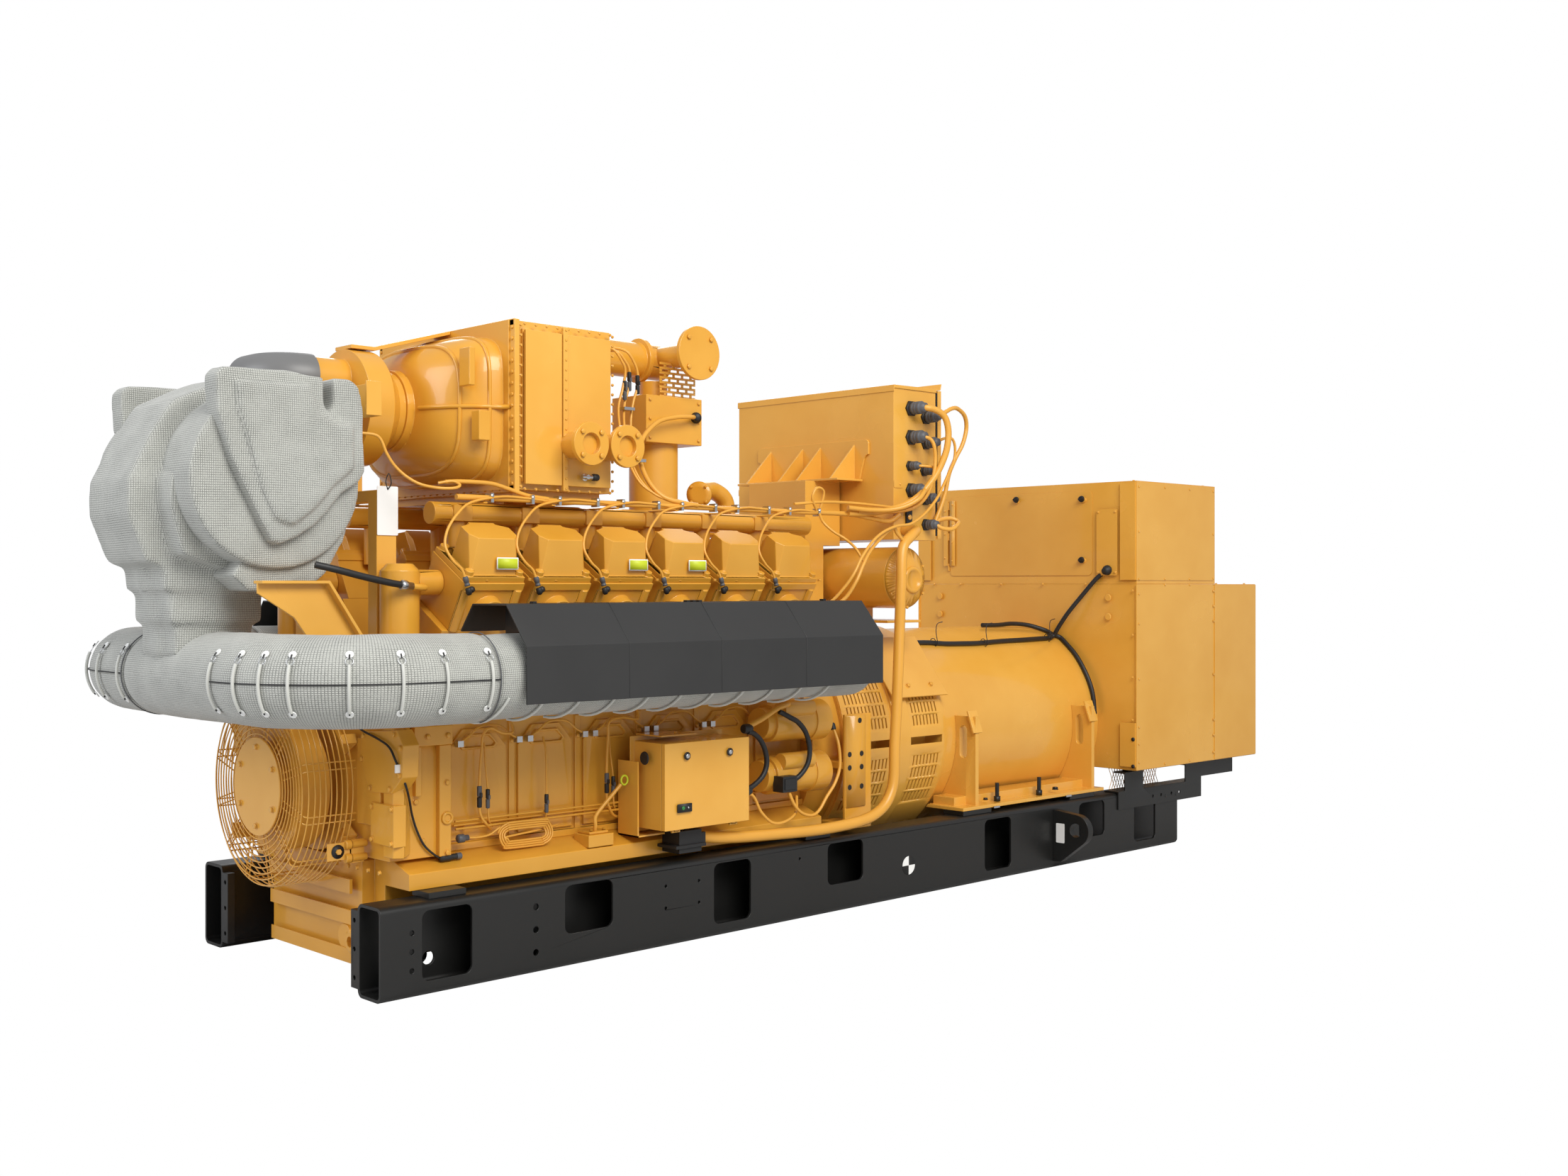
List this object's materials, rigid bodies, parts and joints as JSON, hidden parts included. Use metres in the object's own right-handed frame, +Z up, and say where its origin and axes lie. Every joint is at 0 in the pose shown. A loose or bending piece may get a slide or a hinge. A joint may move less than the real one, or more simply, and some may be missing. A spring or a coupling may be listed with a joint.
{
  "type": "gas generator set",
  "caption": "Vee gas engine and alternator on two box rails, with insulated exhaust, aftercooler, control cabinet and terminal box.",
  "frame": {"origin": "centre of the set at floor level, under the middle of its overall length", "axes": "+X from the damper end to the alternator end, +Y across to the far side, +Z up"},
  "size_m": [6.186, 2, 2.496],
  "materials": {
    "yellow_paint": "gloss",
    "rail_black": "satin",
    "shield_black": "matte",
    "exhaust_blanket": "matte",
    "intake_rubber": "satin"
  },
  "bodies": {
    "set": {"rail_near": "rail_black", "rail_far": "rail_black", "lifting_lugs": "rail_black", "engine_mount_pads": "rail_black", "box_support_brackets": "rail_black", "oil_pan": "yellow_paint", "crankcase": "yellow_paint", "crankcase_doors": "yellow_paint", "front_housing": "yellow_paint", "damper_guard": "yellow_paint", "crank_damper": "yellow_paint", "cylinder_heads_near": "yellow_paint", "cylinder_heads_far": "yellow_paint", "rocker_covers_near": "yellow_paint", "rocker_covers_far": "yellow_paint", "exhaust_wrap_near": "exhaust_blanket", "exhaust_wrap_far": "exhaust_blanket", "exhaust_wrap_front": "exhaust_blanket", "turbo_wrap": "exhaust_blanket", "heat_shield_near": "shield_black", "heat_shield_far": "shield_black", "turbo_support": "yellow_paint", "air_intake_elbow": "intake_rubber", "compressor_housing": "yellow_paint", "aftercooler_inlet": "yellow_paint", "aftercooler_core": "yellow_paint", "water_flanges": "yellow_paint", "mixture_inlet": "yellow_paint", "gas_valve_box": "yellow_paint", "coolant_manifolds": "yellow_paint", "front_pipework": "yellow_paint", "control_cabinet": "yellow_paint", "cabinet_bracket": "yellow_paint", "water_crossover": "yellow_paint", "flywheel_housing": "yellow_paint", "starter_motors": "yellow_paint", "alternator_adapter": "yellow_paint", "alternator_frame": "yellow_paint", "alternator_feet": "yellow_paint", "terminal_box": "yellow_paint", "junction_box": "yellow_paint", "power_conduit": "yellow_paint", "engine_harness": "yellow_paint"},
    "terminal_door": {"terminal_door": "yellow_paint"},
    "junction_door": {"junction_door": "yellow_paint"}
  },
  "joints": [
    {"name": "terminal_door_hinge", "type": "hinge", "parent": "set", "child": "terminal_door", "pos_m": [1.89, 0.515, 1.674], "axis": [0, 0, -1], "range_deg": [0, 110]},
    {"name": "junction_door_hinge", "type": "hinge", "parent": "set", "child": "junction_door", "pos_m": [-1.049, -0.6995, 0.451], "axis": [1, 0, 0], "range_deg": [0, 100]}
  ]
}
